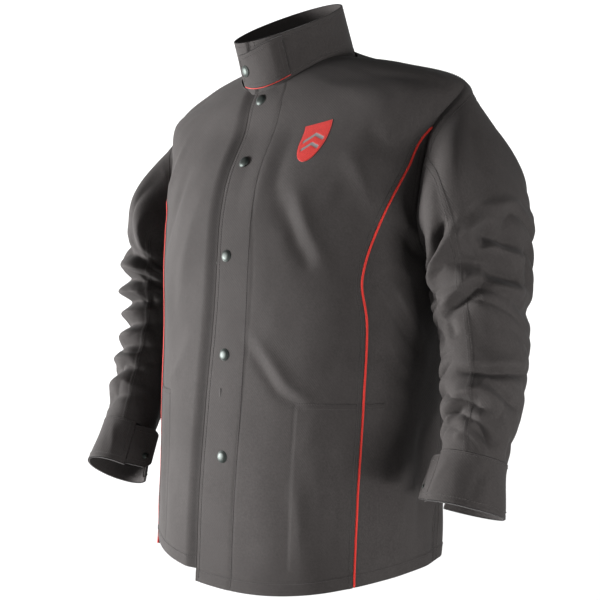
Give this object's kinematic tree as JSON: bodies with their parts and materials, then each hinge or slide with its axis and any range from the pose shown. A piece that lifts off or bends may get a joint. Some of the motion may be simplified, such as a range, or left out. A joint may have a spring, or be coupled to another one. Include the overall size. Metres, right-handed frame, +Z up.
{
  "type": "welding jacket",
  "caption": "Hip-length flame-resistant cloth welding jacket with stand-up collar, snap front, red-piped seams, set-in sleeves with snap cuffs and waist tabs.",
  "frame": {"origin": "where a hook bears in the hanger loop, inside the back of the neck", "axes": "+X to the wearer's left, -Y to the front, +Z up along the body"},
  "size_m": [0.7187, 0.3353, 0.813],
  "materials": {
    "shell_cloth": "charcoal flame-resistant cotton sateen, matte with a faint sheen",
    "inner_cloth": "the same cotton, reverse side, duller",
    "red_piping": "red corded piping, woven",
    "red_emblem": "red embroidery thread",
    "label_cloth": "blank woven label",
    "snap_metal": "gunmetal-plated brass, smooth"
  },
  "bodies": {
    "torso": {"left_front_panel": "shell_cloth", "left_side_panel": "shell_cloth", "left_front_piping": "red_piping", "left_inner_pocket": "inner_cloth", "right_front_panel": "shell_cloth", "right_side_panel": "shell_cloth", "right_front_piping": "red_piping", "right_inner_pocket": "inner_cloth", "back_panel": "shell_cloth", "waist_snap_studs": "snap_metal", "collar": "shell_cloth", "collar_lining": "inner_cloth", "chest_emblem": "red_emblem", "size_label": "label_cloth", "hanger_loop": "inner_cloth"},
    "left_flap": {"left_front_flap": "shell_cloth", "left_front_facing": "inner_cloth", "placket_snap_caps": "snap_metal", "placket_snap_sockets": "snap_metal", "collar_left_end": "shell_cloth"},
    "right_flap": {"right_front_flap": "shell_cloth", "right_front_facing": "inner_cloth", "placket_snap_studs": "snap_metal", "collar_right_end": "shell_cloth", "collar_snap_stud": "snap_metal"},
    "collar_tab": {"collar_tab": "shell_cloth", "collar_tab_piping": "red_piping", "collar_snap_cap": "snap_metal", "collar_snap_socket": "snap_metal"},
    "left_sleeve": {"left_sleeve_top": "shell_cloth", "left_sleeve_under": "shell_cloth"},
    "right_sleeve": {"right_sleeve_top": "shell_cloth", "right_sleeve_under": "shell_cloth"},
    "left_forearm": {"left_forearm_top": "shell_cloth", "left_forearm_under": "shell_cloth", "left_cuff": "shell_cloth", "left_cuff_snap_cap": "snap_metal", "left_cuff_snap_socket": "snap_metal"},
    "right_forearm": {"right_forearm_top": "shell_cloth", "right_forearm_under": "shell_cloth", "right_cuff": "shell_cloth", "right_cuff_snap_cap": "snap_metal", "right_cuff_snap_socket": "snap_metal"},
    "left_cuff_tab": {"left_cuff_tab": "shell_cloth", "left_cuff_snap_stud": "snap_metal"},
    "right_cuff_tab": {"right_cuff_tab": "shell_cloth", "right_cuff_snap_stud": "snap_metal"},
    "left_waist_tab": {"left_waist_tab": "shell_cloth", "left_waist_snap_cap": "snap_metal", "left_waist_snap_socket": "snap_metal"},
    "right_waist_tab": {"right_waist_tab": "shell_cloth", "right_waist_snap_cap": "snap_metal", "right_waist_snap_socket": "snap_metal"}
  },
  "joints": [
    {"name": "left_front_open", "type": "hinge", "parent": "torso", "child": "left_flap", "pos_m": [0.11, -0.22058, -0.39063], "axis": [-0.0793, 0.1215, 0.9894], "range_deg": [0, 90]},
    {"name": "right_front_open", "type": "hinge", "parent": "torso", "child": "right_flap", "pos_m": [-0.11, -0.22058, -0.39063], "axis": [-0.0793, -0.1215, -0.9894], "range_deg": [0, 41]},
    {"name": "collar_tab_open", "type": "hinge", "parent": "left_flap", "child": "collar_tab", "pos_m": [0.0467, -0.14588, -0.05323], "axis": [-0.0381, -0.3408, 0.9394], "range_deg": [0, 135]},
    {"name": "left_shoulder_raise", "type": "hinge", "parent": "torso", "child": "left_sleeve", "pos_m": [0.264, -0.03958, -0.10013], "axis": [0, -1, 0], "range_deg": [0, 60]},
    {"name": "left_elbow_bend", "type": "hinge", "parent": "left_sleeve", "child": "left_forearm", "pos_m": [0.305, -0.13666, -0.4049], "axis": [-0.9836, -0.0293, -0.1777], "range_deg": [0, 75]},
    {"name": "left_cuff_tab_open", "type": "hinge", "parent": "left_forearm", "child": "left_cuff_tab", "pos_m": [0.29233, -0.14506, -0.56723], "axis": [0.101, 0.4347, 0.8949], "range_deg": [-15, 60]},
    {"name": "left_waist_tab_open", "type": "hinge", "parent": "torso", "child": "left_waist_tab", "pos_m": [0.22234, -0.01904, -0.51425], "axis": [-0.0379, -0.0184, -0.9991], "range_deg": [0, 120]},
    {"name": "right_shoulder_raise", "type": "hinge", "parent": "torso", "child": "right_sleeve", "pos_m": [-0.264, -0.03958, -0.10013], "axis": [0, 1, 0], "range_deg": [0, 60]},
    {"name": "right_elbow_bend", "type": "hinge", "parent": "right_sleeve", "child": "right_forearm", "pos_m": [-0.285, -0.14447, -0.40596], "axis": [-1, 0, 0], "range_deg": [0, 75]},
    {"name": "right_cuff_tab_open", "type": "hinge", "parent": "right_forearm", "child": "right_cuff_tab", "pos_m": [-0.23098, -0.18099, -0.58038], "axis": [0.1961, -0.5017, -0.8425], "range_deg": [-15, 60]},
    {"name": "right_waist_tab_open", "type": "hinge", "parent": "torso", "child": "right_waist_tab", "pos_m": [-0.21025, -0.01908, -0.51429], "axis": [-0.0525, 0.0221, 0.9984], "range_deg": [0, 120]}
  ],
  "couplings": [
    {"joint": "right_front_open", "follows": "left_front_open", "ratio": 0.45}
  ]
}
